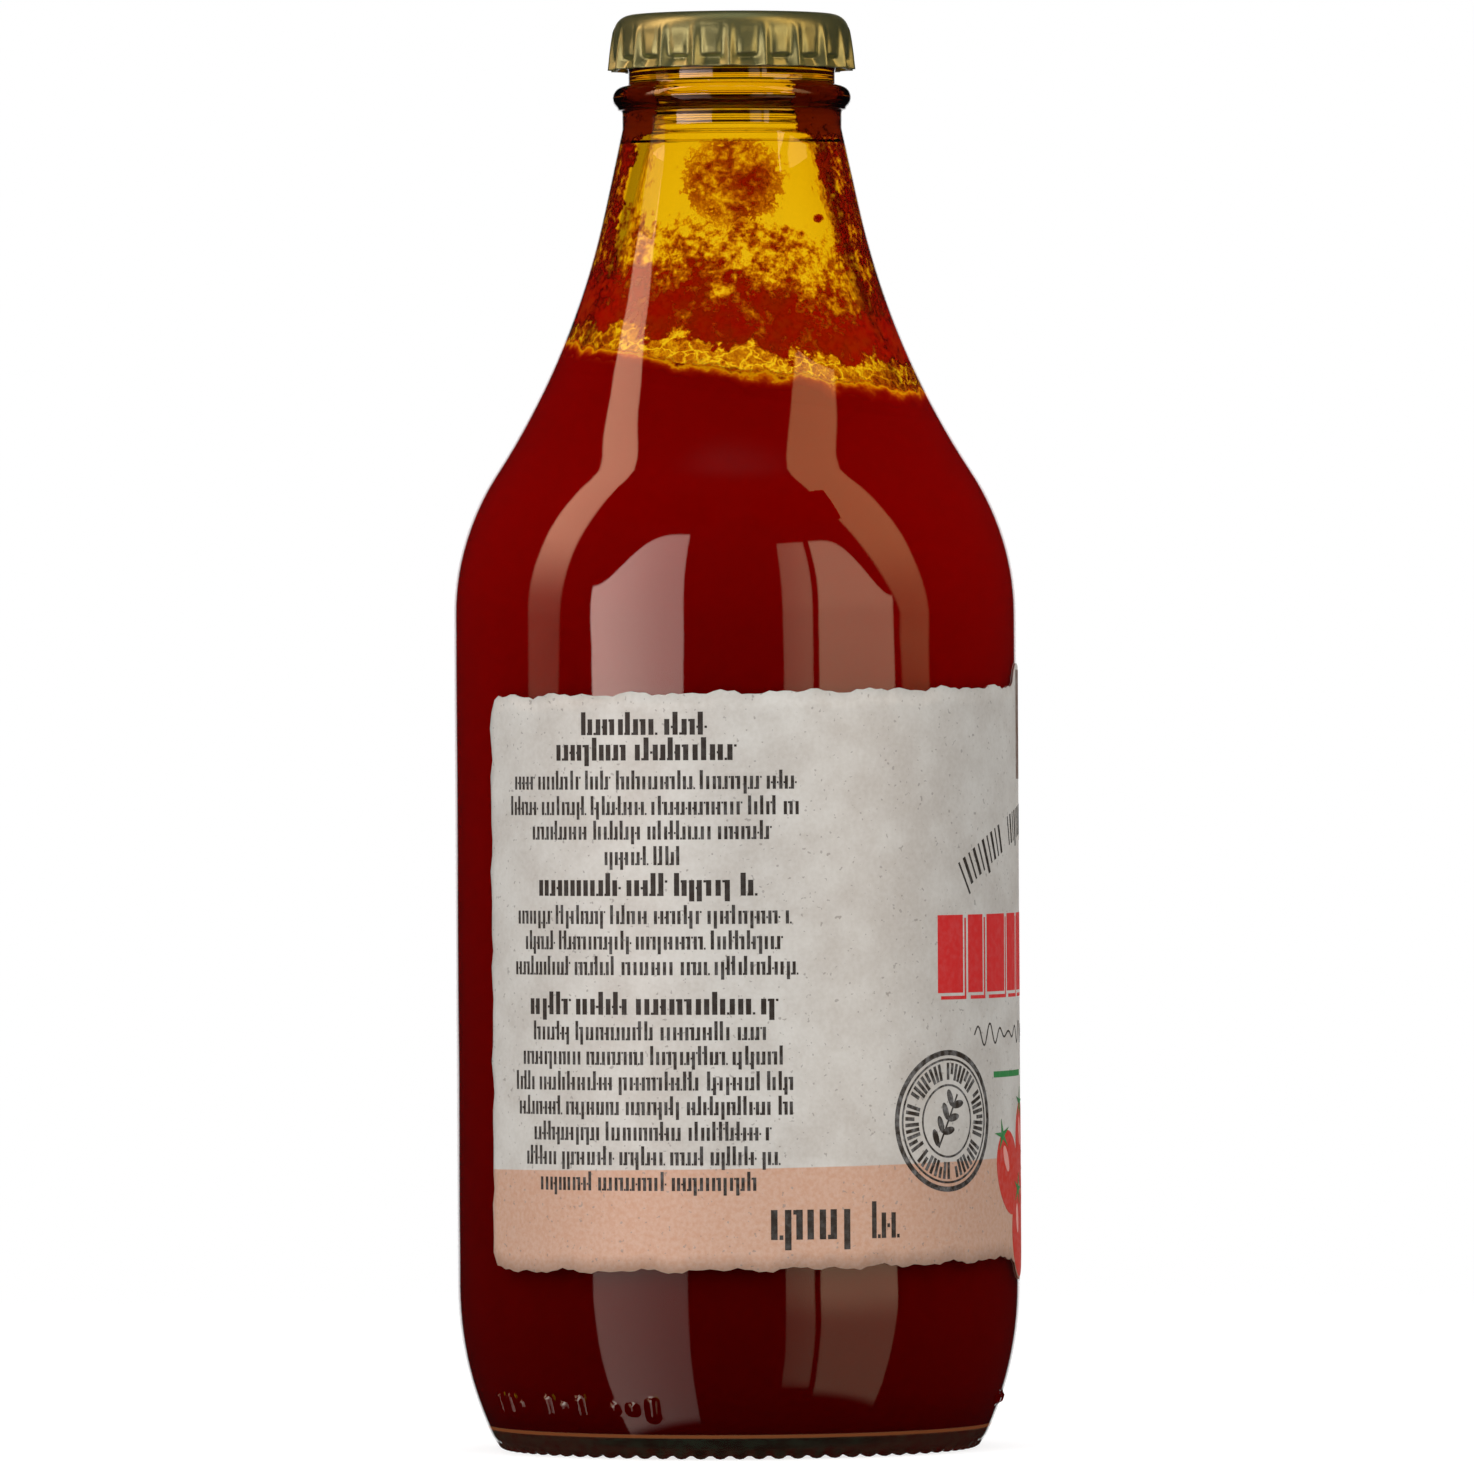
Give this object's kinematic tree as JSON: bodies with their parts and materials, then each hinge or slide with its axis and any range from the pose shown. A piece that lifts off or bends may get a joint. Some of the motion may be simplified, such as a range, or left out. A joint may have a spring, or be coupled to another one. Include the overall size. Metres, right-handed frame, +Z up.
{
  "type": "bottle of tomato sauce",
  "caption": "Small amber glass bottle of tomato sauce with a long shoulder, a crimped crown cap and a wrap-around paper label.",
  "frame": {"origin": "centre of the foot, at the height of the table", "axes": "+Z up along the bottle's axis; the middle of the label faces +X"},
  "size_m": [0.0652, 0.0654, 0.1657],
  "materials": {
    "amber_glass": "clear amber, polished",
    "tomato_sauce": "wet, smooth puree",
    "gold_cap": "satin gold lacquer",
    "label_paper": "uncoated speckled paper"
  },
  "bodies": {
    "root": {"bottle": "amber_glass", "sauce": "tomato_sauce", "crown_cap": "gold_cap", "label": "label_paper"}
  },
  "joints": []
}
